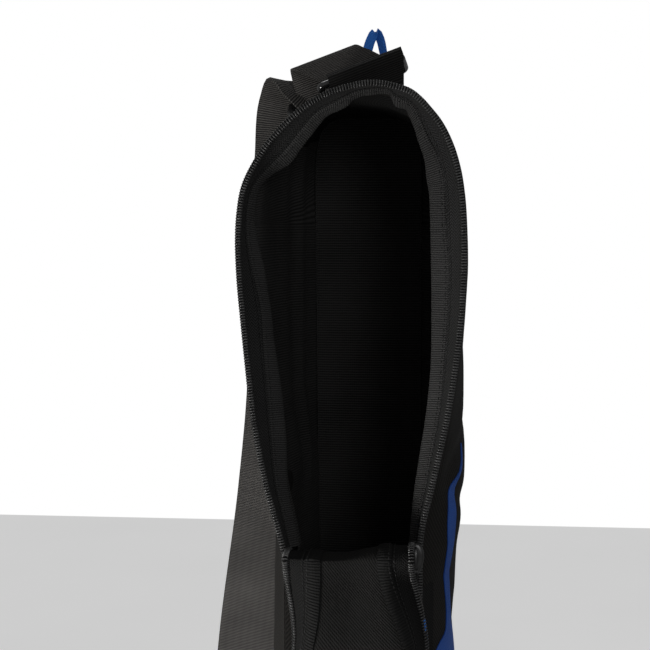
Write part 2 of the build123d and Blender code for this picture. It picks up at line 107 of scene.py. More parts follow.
key = area_light("key", (-0.62, -0.60, 0.92), (-0.10, -0.03, 1.16), 0.35, 2.7, (1.0, 0.985, 0.96))
key.data.spread = math.radians(84)
area_light("front", (0.7, -1.9, 2.0), (0, 0, 1.50), 0.7, 7)
area_light("top", (-0.3, 0.5, 2.6), (0, 0, 1.65), 0.5, 1.6)

# ---- mesh helpers


def hermite(u, start, end, slope_start, slope_end):
    """Cubic from start to end at u; the slopes are per step."""
    return ((2 * u**3 - 3 * u**2 + 1) * start + (u**3 - 2 * u**2 + u) * slope_start
            + (-2 * u**3 + 3 * u**2) * end + (u**3 - u**2) * slope_end)


def spline(rows, count):
    """Smooth curve through rows of numbers, sampled count times by chord length, which longer rows
    take from their first two numbers."""
    p = np.asarray(rows, float)
    d = np.linalg.norm(np.diff(p[:, :2] if p.shape[1] > 3 else p, axis=0), axis=1)
    t = running(np.maximum(d, 1e-6))
    m = np.gradient(p, t, axis=0)
    q = np.linspace(0, t[-1], count)
    i = np.clip(np.searchsorted(t, q, side="right") - 1, 0, len(t) - 2)
    h = (t[i + 1] - t[i])[:, None]
    return hermite((q - t[i])[:, None] / h, p[i], p[i + 1], h * m[i], h * m[i + 1])


def unit(v):
    return v / np.maximum(np.linalg.norm(v, axis=-1, keepdims=True), 1e-9)


def smooth(x):
    x = np.clip(x, 0, 1)
    return x * x * (3 - 2 * x)


def bump(x, centre, width):
    return np.exp(-(((x - centre) / width) ** 2))


def squared(x, power):
    """A sine or cosine swollen towards the sides of a square."""
    return np.sign(x) * np.abs(x) ** power


def many(vector, count):
    return np.tile(vector, (count, 1))


def ellipse(a, b, count):
    """Points round a small closed profile."""
    return [(a * math.cos(q), b * math.sin(q)) for q in np.linspace(0, 2 * math.pi, count + 1)[:-1]]


def points(x, y, z):
    """Points from their coordinates, any of which may be a single number."""
    return np.stack(np.broadcast_arrays(x, y, z), -1).astype(float)


def tube_faces(rings, around):
    """Quads between rings of points that follow each other."""
    i, j = np.meshgrid(np.arange(rings - 1) * around, np.arange(around), indexing="ij")
    j2 = (j + 1) % around
    return np.stack([i + j, i + around + j, i + around + j2, i + j2], axis=-1).reshape(-1, 4)


def running(steps):
    return np.concatenate([[0], np.cumsum(steps)])


def run_length(line):
    """Distance along a line at each of its points."""
    return running(np.linalg.norm(np.diff(line, axis=0), axis=1))


def grid(a, b):
    return np.stack(np.meshgrid(a, b, indexing="ij"), axis=-1)


def make(name, verts, faces, uvs, material, sharp=38):
    """A mesh in metres from lists in millimetres; uvs holds one pair per vertex, in metres, if any."""
    mesh = bpy.data.meshes.new(name)
    mesh.from_pydata([tuple(v) for v in np.asarray(verts) * MM], [], [list(map(int, f)) for f in faces])
    layer = mesh.uv_layers.new(name="flat")
    if uvs is not None:
        loops = np.empty(len(mesh.loops), int)
        mesh.loops.foreach_get("vertex_index", loops)
        layer.data.foreach_set("uv", np.asarray(uvs, float)[loops].ravel())
    mesh.polygons.foreach_set("use_smooth", [True] * len(mesh.polygons))
    mesh.set_sharp_from_angle(angle=math.radians(sharp))
    mesh.materials.append(material)
    obj = bpy.data.objects.new(name, mesh)
    scene.collection.objects.link(obj)
    return obj


def flat_lengths(p):
    """Distances along the rows and columns of a grid of points from its first corner, in metres."""
    u = running(np.linalg.norm(np.diff(p, axis=0), axis=2).mean(axis=1))
    v = running(np.linalg.norm(np.diff(p, axis=1), axis=2).mean(axis=0))
    return grid(u, v) * MM


def normals(p):
    return unit(np.cross(np.gradient(p, axis=0), np.gradient(p, axis=1)))


def slab(name, p, thick, material, body="bag", replaces=(), flip=False, offset=0.0):
    """A sheet of cloth with thickness: a grid of points p (rows, columns) and its second side."""
    nu, nv = p.shape[:2]
    n = normals(p) * (-1 if flip else 1)
    top, under = p + n * offset, p + n * (offset - thick)
    uv = flat_lengths(p).reshape(-1, 2)
    verts = np.concatenate([top.reshape(-1, 3), under.reshape(-1, 3)])
    index = np.arange(nu * nv).reshape(nu, nv)
    a, b, c, d = index[:-1, :-1], index[1:, :-1], index[1:, 1:], index[:-1, 1:]
    quads = np.stack([a, b, c, d], axis=-1).reshape(-1, 4)
    back = quads + nu * nv
    ring = np.concatenate([index[:, 0], index[-1, 1:], index[-2::-1, -1], index[0, -2:0:-1]])
    nxt = np.roll(ring, -1)
    side = np.stack([nxt, ring, ring + nu * nv, nxt + nu * nv], axis=-1)
    faces = np.concatenate([quads, back[:, ::-1], side[:, ::-1]])
    obj = make(name, verts, faces[:, ::-1] if flip else faces, np.concatenate([uv, uv]), material)
    return finish_piece(obj, body, replaces)


def finish_piece(obj, body, replaces):
    """Say what a piece is; one without a body is left without a parent."""
    if body:
        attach(obj, body)
    if replaces:
        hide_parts(*([replaces] if isinstance(replaces, str) else replaces))
    return obj


def sweep(name, line, side, up, profile, material, body="bag", replaces=(), sharp=50):
    """A closed profile of (side, up) offsets carried along a line."""
    prof = np.asarray(profile, float)
    n = len(line)
    if prof.ndim == 2:
        prof = np.repeat(prof[None], n, axis=0)
    k = prof.shape[1]
    pts = line[:, None] + prof[..., :1] * side[:, None] + prof[..., 1:2] * up[:, None]
    uv = grid(run_length(line), run_length(prof[0])).reshape(-1, 2) * MM
    faces = [*tube_faces(n, k), range(k)[::-1], range((n - 1) * k, n * k)]
    finish_piece(make(name, pts.reshape(-1, 3), faces, uv, material, sharp), body, replaces)


def resample(line, pitch, extra):
    """Points every pitch along a line, with the matching values of extra arrays."""
    s = run_length(line)
    q = np.arange(pitch / 2, s[-1], pitch)
    return [np.stack([np.interp(q, s, a[:, k]) for k in range(3)], axis=1) for a in (line, *extra)]


def small_parts(name, places, ends, material, body, replaces):
    """Many little bent rods in one mesh. places gives (origin, side, up, along) for each rod and
    ends its centre line as (side, up, radius) rows."""
    origin, side, up, along = places
    path = np.asarray(ends, float)
    n, k, sides = len(origin), len(path), 5
    tangent = unit(np.gradient(path[:, :2], axis=0))
    verts = []
    for i in range(k):
        s, u, r = path[i]
        ts, tu = tangent[i]
        for j in range(sides):
            a = 2 * math.pi * j / sides
            ds, du, dt = -tu * math.cos(a) * r, ts * math.cos(a) * r, math.sin(a) * r
            verts.append(origin + side * (s + ds) + up * (u + du) + along * dt)
    verts = np.stack(verts, axis=1).reshape(-1, 3)
    one = tube_faces(k, sides)[:, [0, 3, 2, 1]]
    faces = (one[None] + (np.arange(n) * k * sides)[:, None, None]).reshape(-1, 4)
    return finish_piece(make(name, verts, faces, verts[:, :2] * MM, material, 180), body, replaces)


def teeth(name, line, side, up, material, replaces, body="bag"):
    """The coil of a zipper as separate bent turns."""
    o, s, u = resample(line, TOOTH_PITCH, (side, up))
    s, u = unit(s), unit(u)
    t = unit(np.cross(s, u))
    h = COIL_WIDE / 2
    rows = [(-h, 0, .3), (-h, .7, .42), (-h * .45, 1.15, .42), (h * .5, 1.1, .45), (h, .55, .55), (h, 0.1, .35)]
    return small_parts(name, (o, s, u, t), rows, material, body, replaces)


def stitches(name, line, up, body="bag", pitch=3.2, length=2.3):
    """A row of sewing stitches lying on the cloth."""
    o, u = resample(line, pitch, (up,))
    t = unit(np.gradient(o, axis=0))
    u = unit(u)
    s = unit(np.cross(t, u))
    h = length / 2
    rows = [(-h, -.15, .1), (-h * .6, .12, THREAD), (h * .6, .12, THREAD), (h, -.15, .1)]
    return small_parts(name, (o, t, u, s), rows, thread_mat, body, ())


# ---- materials


def put(node, values):
    for name, value in values.items():
        node.inputs[name].default_value = value
    return node


class Nodes:
    """Short ways to add shader nodes to one material."""

    def __init__(self, name):
        self.mat = bpy.data.materials.new(name)
        self.mat.use_nodes = True
        self.tree = self.mat.node_tree
        self.shader = self.tree.nodes["Principled BSDF"]

    def add(self, kind, **values):
        node = self.tree.nodes.new(kind)
        for key, value in values.items():
            setattr(node, key, value)
        return node

    def link(self, a, b):
        self.tree.links.new(a, b)

    def in_mm(self, metres, turn=0.0):
        scale = put(self.add("ShaderNodeMapping"), {"Scale": (1000, 1000, 1000), "Rotation": (0, 0, turn)})
        self.link(metres, scale.inputs[0])
        return scale.outputs[0]

    def uv_mm(self, turn=0.0):
        return self.in_mm(self.add("ShaderNodeUVMap", uv_map="flat").outputs[0], turn)

    def space_mm(self):
        return self.in_mm(self.add("ShaderNodeTexCoord").outputs["Object"])

    def math(self, operation, a, b):
        node = self.add("ShaderNodeMath", operation=operation)
        for i, x in enumerate((a, b)):
            if isinstance(x, (int, float)):
                node.inputs[i].default_value = x
            else:
                self.link(x, node.inputs[i])
        return node.outputs[0]

    def wave(self, vector, pitch, direction, distort):
        node = self.add("ShaderNodeTexWave", wave_type="BANDS", bands_direction=direction)
        put(node, {"Scale": WAVE / pitch, "Distortion": distort, "Detail": 1.0, "Detail Scale": 1.0})
        self.link(vector, node.inputs[0])
        return node.outputs["Fac"]

    def noise(self, vector, size, detail=3.0):
        node = put(self.add("ShaderNodeTexNoise"), {"Scale": 1.0 / size, "Detail": detail})
        self.link(vector, node.inputs["Vector"])
        return node.outputs["Fac"]

    def ramp(self, fac, stops):
        node = self.add("ShaderNodeValToRGB")
        ramp = node.color_ramp
        ramp.elements[0].position, ramp.elements[0].color = stops[0][0], (*stops[0][1], 1)
        ramp.elements[1].position, ramp.elements[1].color = stops[-1][0], (*stops[-1][1], 1)
        for place, colour in stops[1:-1]:
            ramp.elements.new(place).color = (*colour, 1)
        self.link(fac, node.inputs[0])
        return node.outputs[0]

    def bump(self, height, distance, strength, below=None):
        node = put(self.add("ShaderNodeBump"), {"Strength": strength, "Distance": distance})
        self.link(height, node.inputs["Height"])
        if below is not None:
            self.link(below, node.inputs["Normal"])
        return node.outputs[0]


def cloth(name, dark, light, weave, pitch, cross, depth, rough, sheen, band=6.0, contrast=1.0, lie=0.25):
    """A woven cloth. weave is ribs, twill, herringbone or plain; pitch, cross and band are in millimetres."""
    n = Nodes(name)
    flat = over = n.uv_mm()
    if weave == "twill":
        over = n.uv_mm(math.radians(52))
    elif weave == "herringbone":
        split = n.add("ShaderNodeSeparateXYZ")
        n.link(flat, split.inputs[0])
        both = n.math("ADD", split.outputs[0], n.math("PINGPONG", split.outputs[1], band))
        join = n.add("ShaderNodeCombineXYZ")
        n.link(both, join.inputs[0])
        n.link(split.outputs[1], join.inputs[1])
        over = join.outputs[0]
    fine_wander, thread_wander = WANDER[weave]
    fine = n.wave(over, pitch, "X", fine_wander)
    thread = n.wave(flat, cross, "Y", thread_wander)
    if weave == "plain":
        fine = n.math("MULTIPLY", fine, thread)
    speck = n.noise(flat, 0.45, 2.0)
    height = n.math("ADD", n.math("MULTIPLY", fine, 1.05 - lie), n.math("MULTIPLY", thread, lie))
    height = n.math("ADD", height, n.math("MULTIPLY", speck, 0.5 * contrast))
    wide = n.noise(n.space_mm(), 38.0, 3.0)
    tone = n.math("ADD", n.math("MULTIPLY", height, 0.75), n.math("MULTIPLY", wide, 0.5))
    middle = tuple((a + b) / 2 for a, b in zip(dark, light))
    colour = n.ramp(tone, [(0.42, dark), (0.80, middle), (1.0, light)])
    n.link(colour, n.shader.inputs["Base Color"])
    soft = n.bump(wide, 0.0012, 0.25)
    n.link(n.bump(height, depth, 0.9, soft), n.shader.inputs["Normal"])
    put(n.shader, {"Roughness": rough, "Specular IOR Level": 0.18, "Sheen Weight": sheen * 0.12,
                   "Sheen Roughness": 0.45, "Sheen Tint": (0.75, 0.74, 0.72, 1)})
    return n.mat


def hard(name, dark, light, rough, metallic=0.0, grain=1.2, coat=0.0, spec=0.5):
    """Moulded plastic or painted metal with fine grain and small scuffs."""
    n = Nodes(name)
    at = n.space_mm()
    fine, scuff = n.noise(at, grain, 4.0), n.noise(at, 9.0, 5.0)
    n.link(n.ramp(scuff, [(0.35, dark), (0.7, light)]), n.shader.inputs["Base Color"])
    n.link(n.bump(fine, 0.00006, 0.5), n.shader.inputs["Normal"])
    rough_low, rough_high = (rough * 0.85,) * 3, (min(1, rough * 1.25),) * 3
    n.link(n.ramp(scuff, [(0.3, rough_low), (0.75, rough_high)]), n.shader.inputs["Roughness"])
    put(n.shader, {"Metallic": metallic, "Coat Weight": coat, "Specular IOR Level": spec})
    return n.mat


def grey(x, warm=0.0):
    return (x * (1 + warm), x, x * (1 - warm))


# (weave, pitch, cross, depth, rough, sheen, band, contrast, lie)
lining_weave = ("ribs", 1.8, 1.3, 0.0003, .9, .05)
tape_weave = ("herringbone", 1.9, 1.2, 0.0004, .78, .1, 3.2)
web_weave = ("ribs", 1.45, 6.0, 0.0004, .78, .2, 6.0, .35, .08)
shell_cloth = cloth("shell_cloth", grey(.001, .06), grey(.0105, .12), "twill", 1.9, 1.3, 0.0004, .8, .1)
lining_cloth = cloth("lining_cloth", grey(.005), grey(.036, .02), *lining_weave)
# a much darker copy of the lining cloth: painted shade for the top third of the lining, under the binding
lining_painted_shade = cloth("lining_painted_shade_cloth", grey(.0008), grey(.006, .02), *lining_weave)
flap_cloth = cloth("flap_cloth", grey(.0006, .02), grey(.0085, .04), "twill", 1.5, 1.1, 0.0004, .82, .1, contrast=2.2)
binding_cloth = cloth("binding_cloth", grey(.006), grey(.046, .01), "ribs", 1.4, 0.9, 0.0005, .75, .15)
tape_cloth = cloth("tape_cloth", grey(.003), grey(.032), *tape_weave)
web_cloth = cloth("web_cloth", grey(.012, .03), grey(.080, .05), *web_weave)
flap_binding = cloth("flap_binding_cloth", grey(.0006), grey(.0085, .01), "ribs", 1.7, 0.9, 0.0005, .75, .1)
flap_tape = cloth("flap_tape_cloth", grey(.0004), grey(.0055), *tape_weave)
dark_web = cloth("dark_web_cloth", grey(.002, .03), grey(.015, .05), *web_weave)
blue_cloth = cloth("blue_cloth", (.012, .055, .28), (.04, .16, .62), "plain", 1.2, 1.2, 0.0002, .6, .1)
ribbon_cloth = cloth("ribbon_cloth", (.015, .09, .42), (.05, .25, .85), "ribs", 0.9, 0.9, 0.0002, .55, .2)
thread_mat = cloth("thread", grey(.008), grey(.030), "ribs", 0.4, 0.4, 0.00005, .6, .1)
coil_mat = hard("coil_nylon", grey(.022), grey(.06), .34, spec=.6)
gunmetal = hard("gunmetal", grey(.035), grey(.075), .34, metallic=.85, grain=.8)
ring_mat = hard("black_enamel", grey(.006), grey(.016), .16, coat=.7, spec=.7)
glide_mat = hard("glide_plastic", grey(.022), grey(.035), .5, grain=.6)
board_mat = hard("board_plastic", grey(.03), grey(.06), .6, grain=1.5)

# ---- the shell and its lining


def cad(node):
    """Lowest and highest corner of a CAD node, in millimetres."""
    return np.array([[float(c) for c in corner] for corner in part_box(node)]) * 1000


rim_box, fold_box = cad("mouth_zipper_tape"), cad("flap_fold")
front_y, top_z = rim_box[0][1], rim_box[1][2]
fold_z = fold_box[0][2]
floor_z = cad("base_panel")[1][2]
back_low = cad("base_panel")[1][1]
zip_end = cad("panel_zipper_coil")[0][2]
lean = 150.0 / top_z
widest_z = top_z - RIM_TO_WIDEST
mouth_tall = widest_z - fold_z

# Rim of the mouth from the left end of the fold over the top to the right end. Each row is the coil,
# then the outer and the inner edge of the binding, as (across, below the top).
mouth_rows = np.array([
    (-41.5, 284, -40.2, 284, -35, 284), (-45.8, 267, -44.2, 266, -38.5, 266),
    (-51.5, 247, -48.8, 246, -42.2, 247), (-58, 215, -51.8, 215, -43.2, 216),
    (-60.4, 200, -52.8, 200, -44.6, 200), (-62.2, 184, -54, 184, -46.2, 185),
    (-63.7, 169, -55.2, 169, -48.4, 170), (-65.2, 154, -56.2, 154, -50.8, 154),
    (-66.7, 138, -57.2, 138, -52.2, 139), (-68.1, 123, -60, 123, -54.6, 124),
    (-69, 108, -63.6, 108, -57.2, 108), (-69.3, 92, -66.4, 92, -60.8, 93),
    (-68.4, 77, -66, 77, -62.4, 78), (-65.4, 61, -62.6, 62, -59.6, 62),
    (-58, 46, -54.6, 51, -51.4, 53), (-48, 32, -43.4, 40, -39, 45), (-41, 24.5, -37.6, 33, -33.4, 37),
    (-34, 18, -31, 24.6, -26.6, 28.4), (-26, 12, -23.6, 16.5, -20, 20), (-16, 6.5, -14.8, 11.4, -15, 16),
    (-7, 3.3, -5.7, 6.8, -6, 12), (1, 1.3, .4, 3.8, 0, 6.6), (10, 0, 9.5, 2.2, 9.1, 4.6),
    (22, 1.3, 21.7, 3.2, 22.3, 5.6), (27, 2.6, 25.4, 6.9, 25, 11.8), (33, 4.7, 30.8, 8.7, 30.4, 13.2),
    (40, 10, 36.9, 13.2, 33, 17.6), (45, 15.5, 40, 20.2, 35.8, 23.4), (51, 23, 44.2, 30.4, 39, 33.4),
    (58, 36.5, 50.4, 41.6, 42.6, 44.4), (62.5, 51, 54.2, 53.6, 44.2, 56.4), (65, 66, 55.2, 66, 45.8, 66),
    (66.3, 82, 55.6, 81, 46.4, 81), (66.6, 108, 57.8, 108, 47.2, 108), (65.2, 139, 57.4, 139, 47.6, 139),
    (61.8, 169, 55.6, 169, 47.2, 170), (57.4, 198, 53, 198, 44.6, 199), (51.6, 226, 48, 227, 40.2, 229),
    (47.2, 246, 44.8, 246, 37.6, 247), (43.6, 261, 41.6, 261, 36, 262), (41.6, 273, 39.8, 274, 35, 275),
    (41.1, 284, 39.4, 284, 34.4, 284),
])
mouth = spline(mouth_rows, 300)
apex = int(np.argmin(mouth[:, 1]))
coil_xz = np.stack([mouth[:, 0], top_z - mouth[:, 1]], 1)
outer_xz = np.stack([mouth[:, 2], top_z - mouth[:, 3]], 1)
inner_xz = np.stack([mouth[:, 4], top_z - mouth[:, 5]], 1)


def at_depth(xz, y):
    return points(xz[:, 0], y, xz[:, 1])


# the four outlines of the bag: (low half, high half, roundness, drop)
outlines = [(42.0, 68.0, 2.0, 0.0), (60.0, 66.0, 2.2, 1.0), (60.0, 60.0, 3.0, 3.0), (43.0, 43.0, 5.0, 4.0)]


def outline_point(which, side, share, turn, z, inset):
    """A point of one outline: on the leg at height z, on the flank at share, or on the dome at turn."""
    low, high, roundness, drop = outlines[which]
    low, high = low - inset, high - inset
    crown = top_z - drop - inset - widest_z
    if z is not None:
        x, height = low, z
    elif share is not None:
        x, height = high - (high - low) * (1 - share) ** 2, fold_z + mouth_tall * share
    else:
        x = high * max(math.cos(turn), 1e-4) ** (2 / roundness)
        height = widest_z + crown * math.sin(turn) ** (2 / roundness)
    y = [front_y, front_y + 35, back_low - 55 - lean * height, back_low - inset - lean * height][which]
    return (side * x, y, height)


leg_z = np.linspace(floor_z, fold_z, 70)[:-1]
loop = [(-1, None, None, z) for z in leg_z]
for i, row in enumerate(mouth):
    side, drop = (-1 if i < apex else 1), row[1]
    if drop >= RIM_TO_WIDEST:
        share = (RIM_TO_FOLD - min(drop, RIM_TO_FOLD)) / (RIM_TO_FOLD - RIM_TO_WIDEST)
        loop.append((side, share, None, None))
    else:
        turn = math.asin(max(0, min(1, (RIM_TO_WIDEST - drop) / RIM_TO_WIDEST)))
        loop.append((side, None, turn, None))
loop += [(1, None, None, z) for z in leg_z[::-1]]
legs = len(leg_z)


def ring_of(which, inset):
    return np.array([outline_point(which, s, share, turn, z, inset) for s, share, turn, z in loop])


def through(keys, knots, values):
    """Smooth curves through key rings of points, at the given values between 0 and 1."""
    keys, t = np.asarray(keys, float), np.asarray(knots, float)
    m = np.gradient(keys, t, axis=0)
    rows = []
    for q in values:
        i = min(int(np.searchsorted(t, q, side="right")) - 1, len(t) - 2)
        h = t[i + 1] - t[i]
        rows.append(hermite((q - t[i]) / h, keys[i], keys[i + 1], h * m[i], h * m[i + 1]))
    return np.stack(rows, axis=1)


def leg_points(xz_mouth, y, leg_x):
    """A front edge: straight legs at leg_x and the mouth between them."""
    return np.concatenate([points(-leg_x, y, leg_z), at_depth(xz_mouth, y), points(leg_x, y, leg_z[::-1])])


tangent = unit(np.gradient(coil_xz, axis=0))
outward = np.stack([-tangent[:, 1], tangent[:, 0]], 1)
front_edge = leg_points(coil_xz + outward * 1.5, front_y + 1.2, 42.0)
outer_keys = [front_edge, ring_of(1, 0), ring_of(2, 0), ring_of(3, 0)]
deep = np.concatenate([np.linspace(0, .3, 9), np.linspace(.3, 1, 22)[1:]])
gusset = through(outer_keys, (0, .25, .62, 1), deep)

# soft dents and folds in the side walls: (height, slope, half height, depth)
right_folds = [(1542, .30, 9, 2.0), (1496, -.25, 11, 2.2), (1436, .35, 9, 2.6), (1396, -.2, 8, 2.0),
               (1353, .15, 10, 2.6), (1316, -.3, 12, 2.2)]
left_folds = [(1560, -.2, 10, 1.6), (1500, .25, 12, 2.2), (1440, -.3, 10, 2.0), (1380, .2, 12, 2.4)]
for height in np.arange(1270, 120, -62):
    for folds in (right_folds, left_folds):
        folds.append((height + random.uniform(-14, 14), random.uniform(-.5, .5), random.uniform(9, 20),
                      random.uniform(1.4, 3.2)))


def relief(p, v):
    """How far the cloth stands in from its smooth shape, in millimetres."""
    x, y, z = p[..., 0], p[..., 1], p[..., 2]
    window = smooth(v / .2) * smooth((1 - v) / .2)
    dent = 0
    for folds, here in ((right_folds, smooth((x - 12) / 30)), (left_folds, smooth((-x - 12) / 30))):
        for height, slope, half, depth in folds:
            middle = height + slope * (y + 95) + 5 * np.sin(y / 31 + height)
            dent = dent + here * depth * bump(z, middle, half)
    slow = 1.1 + .8 * np.sin(z / 61 + y / 47 + x / 90) + .5 * np.sin(z / 29 - y / 23 + 1.3)
    return window * (dent + slow)


grid_n = normals(gusset)
sign = -1 if grid_n[150, 12] @ (gusset[150, 12] * [1, 1, 0]) < 0 else 1
grid_n = grid_n * sign


def push(p, v):
    """How far the walls stand out of the even shape: fuller on the right, flatter on the left."""
    x, z = p[..., 0], p[..., 2]
    right = 4.5 * bump(z, 1520, 55) + 5.8 * bump(z, 1400, 60) + 0.5 * bump(z, 1290, 60)
    left = -7.5 * smooth((1460 - z) / 70) * smooth((z - 900) / 200)
    return (right * smooth((x - 20) / 25) + left * smooth((-x - 20) / 20)) * np.sin(np.pi * np.clip(v, 0, 1)) ** .6


shell_points = gusset + grid_n * (push(gusset, deep[None]) - relief(gusset, deep[None]))[..., None]
flip = sign < 0
hub = top_z - 90  # the seams of the top panel lie at 45 degrees from here
mouth_rows_at = range(legs + 1, len(loop) - legs)
left_seam = next(i for i in mouth_rows_at if front_edge[i, 2] - hub > -front_edge[i, 0])
right_seam = next(i for i in mouth_rows_at[::-1] if front_edge[i, 2] - hub > front_edge[i, 0])
thirds = {"left": slice(None, left_seam + 1), "top": slice(left_seam, right_seam + 1),
          "right": slice(right_seam, None)}
for third, node in (("left", "left_side_panel"), ("top", "top_end_panel"), ("right", "right_side_panel")):
    slab(f"shell_{third}", shell_points[thirds[third]], SHELL, shell_cloth,
         replaces=node, flip=flip)


def back_sheet(inset, low, rows_up, bow=0.0):
    """The back between its two seams, from the base to the rounded top."""
    params = [(None, None, z) for z in np.linspace(low, fold_z, 50)[:-1]]
    params += [(s, None, None) for s in np.linspace(0, 1, 16)[:-1]]
    params += [(None, a, None) for a in np.radians(np.linspace(0, 86, rows_up))]
    rows = []
    for share, turn, z in params:
        l, r = (np.array(outline_point(3, s, share, turn, z, inset)) for s in (-1, 1))
        w = np.linspace(0, 1, BACK_COLUMNS)[:, None]
        row = l * (1 - w) + r * w
        row[:, 1] += bow * np.sin(np.pi * w[:, 0])
        rows.append(row)
    return np.array(rows)


back = back_sheet(0, floor_z, 22)
waves = .9 * np.sin(back[..., 2] / 53 + back[..., 0] / 25) + .7 * np.sin(back[..., 2] / 24 - back[..., 0] / 17)
across = np.sin(np.pi * np.linspace(0, 1, BACK_COLUMNS))[None]
back[..., 1] -= (1.4 + waves) * across * smooth((back[..., 2] - 20) / 60)
slab("shell_back", back, SHELL, shell_cloth, replaces="back_panel", flip=True)

# lining: in from the binding to the walls, then back
lining_wall = [ring_of(1, 5.6), ring_of(2, 5.0), ring_of(3, 5.0)]
lip = leg_points(inner_xz, front_y + 19.5, 38.0)
behind_lip = leg_points(outer_xz * .35 + inner_xz * .65, front_y + 24, 42.0)
lining_grid = through([lip, behind_lip] + lining_wall, (0, .06, .27, .63, 1), np.linspace(0, 1, 44))
vv = np.linspace(0, 1, 44)[None]
lx, lz = lining_grid[..., 0], lining_grid[..., 2]
pleat = (2.6 * bump(vv, .62, .06) + 3.0 * bump(vv, .80, .05)) * smooth((-lx - 5) / 20) * smooth((lz - 1330) / 90)
pleat = pleat + (2.0 * bump(vv, .7, .07)) * smooth((lx - 5) / 20) * smooth((lz - 1330) / 90)
ripple = (.9 * np.sin(lz / 31 + vv * 9) + .6 * np.sin(lz / 13 + vv * 21)) * smooth(vv / .15)
inward = points(-np.sign(lx) * smooth(np.abs(lx) / 20), 0, -.6 * smooth((lz - 1600) / 40))
lining_grid = lining_grid + inward * (pleat + .5 + .5 * ripple * smooth(vv / .2) - push(lining_grid, vv))[..., None]
# the top third of the lining takes the darker copy of the lining cloth, as painted shade under the binding
for third, rows in thirds.items():
    slab(f"lining_{third}_cloth", lining_grid[rows], LINING, lining_painted_shade if third == "top" else lining_cloth,
         replaces=f"lining_{third}", flip=not flip)
back_lining = back_sheet(5.2, floor_z + 3, 24, bow=-1.5)
back_lining[..., 1] += .5 * np.sin(back_lining[..., 2] / 37) * across
slab("lining_back_cloth", back_lining, LINING, lining_cloth, replaces="lining_back")
seam_line = np.concatenate([back_lining[20:, 0], back_lining[::-1, -1][:-20]])
seam_up = unit(np.array([0, 0, 1560.0]) - seam_line) * [1, 0, 1]
sweep("lining_seam", seam_line, many(FORWARD, len(seam_line)), unit(seam_up),
      [(0, -.6), (1.6, -.4), (2.2, .3), (1.6, 1.2), (0, 1.4)], binding_cloth)

# ---- rim: tape, binding, coil


def between(a, b, steps, hollow):
    """A ruled strip from line a to line b with a slight hollow."""
    w = np.linspace(0, 1, steps)[None, :, None]
    p = a[:, None] * (1 - w) + b[:, None] * w
    p[..., 1] += hollow * np.sin(np.pi * w[..., 0])
    return p


tape_front = at_depth(coil_xz - outward * .6, front_y - .2)
tape_back = at_depth(outer_xz + (inner_xz - outer_xz) * .25, front_y + 13.5)
slab("mouth_tape", between(tape_front, tape_back, 9, 1.2), .8, tape_cloth,
     replaces="mouth_zipper_tape", flip=not flip)
edge_out, edge_in = at_depth(outer_xz, front_y + 12.0), at_depth(inner_xz, front_y + 19.0)
span = edge_in - edge_out
wide = np.linalg.norm(span, axis=1, keepdims=True)
along = unit(np.gradient(edge_out, axis=0))
lift = unit(np.cross(along, unit(span)))
lift = lift * np.where(lift[:, 1:2] > 0, -1, 1)
base_profile = np.array([(-.02, -.4), (-.04, .5), (.08, 1.15), (.3, 1.35), (.55, 1.5), (.8, 1.45), (.97, 1.0),
                         (1.06, 0), (.97, -1.0), (.7, -1.3), (.4, -1.2), (.1, -1.0)])
pucker = 1 + .12 * np.sin(np.arange(len(wide)) * 1.7)[:, None]
profiles = np.stack([base_profile[:, 0] * wide, base_profile[:, 1] * pucker], -1)
sweep("rim_binding_band", edge_out, unit(span), lift, profiles, binding_cloth,
      replaces="rim_binding", sharp=80)
stitches("rim_stitches", edge_out + unit(span) * np.minimum(wide * .25, 2.0) + lift * 1.3, lift)
tape_in = tape_front * .25 + tape_back * .75 + FORWARD
stitches("tape_stitches", tape_in, many(FORWARD, len(tape_in)), pitch=2.8)

down_leg = points(41.1, front_y - 1.0, np.linspace(fold_z - 4, zip_end, 60))
coil_line = np.concatenate([at_depth(coil_xz, front_y - 1.0), down_leg])
coil_up = many(FORWARD, len(coil_line))
coil_side = unit(np.cross(coil_up, unit(np.gradient(coil_line, axis=0))))
coil_side *= np.where(coil_side[:, :1] * coil_line[:, :1] > 0, -1, 1)  # towards the mouth's middle
over_top = coil_side[apex - 60: apex + 60]
over_top *= np.where(over_top[:, 2:3] > 0, -1, 1)
teeth("mouth_coil", coil_line, coil_side, coil_up, coil_mat, replaces="mouth_zipper_coil")
sweep("mouth_coil_base", coil_line, coil_side, coil_up, [(-1.9, -1.0), (-1.7, .1), (1.6, .1), (1.8, -1.0)], tape_cloth)

# ---- front panel and its zipper
zz = np.linspace(floor_z, fold_z, 110)


def front_cloth(x0, x1, steps, depth):
    """A nearly flat sheet in the front of the bag from x0 to x1, hollowed by about depth."""
    p = points(np.linspace(x0, x1, steps), front_y, zz[:, None])
    hump = np.sin(np.pi * np.linspace(0, 1, steps))[None]
    x, z = p[..., 0], p[..., 2]
    p[..., 1] += depth * hump * (1 + .8 * np.sin(z / 43 + x / 19) + .5 * np.sin(z / 19 - x / 11))
    return p


panel_box, strip_box = cad("front_panel"), cad("panel_zipper_tape")
slab("front_cloth", front_cloth(panel_box[0][0] - 1.5, panel_box[1][0] + 1, 20, 1.0), SHELL, shell_cloth,
     replaces="front_panel")
slab("panel_tape", front_cloth(strip_box[0][0] - .5, strip_box[1][0], 6, .1), 1.0, flap_tape,
     replaces="panel_zipper_tape", offset=.3)
panel_line = points(36.2, front_y - 1.0, np.linspace(zip_end, fold_z - 2, 80))
teeth("panel_coil", panel_line, many(RIGHTWARD, 80), many(FORWARD, 80), coil_mat, replaces="panel_zipper_coil")
edge = points(strip_box[0][0] - 2.2, front_y - .25, np.linspace(20, fold_z - 4, 80))
stitches("panel_stitches", edge, many(FORWARD, 80))
side_tape = through(outer_keys, (0, .25, .62, 1), np.linspace(0, .09, 4))[-legs:]
slab("side_tape", side_tape, .6, flap_tape, flip=flip, offset=.4)
front_lining = front_cloth(-38, 38, 8, .4)
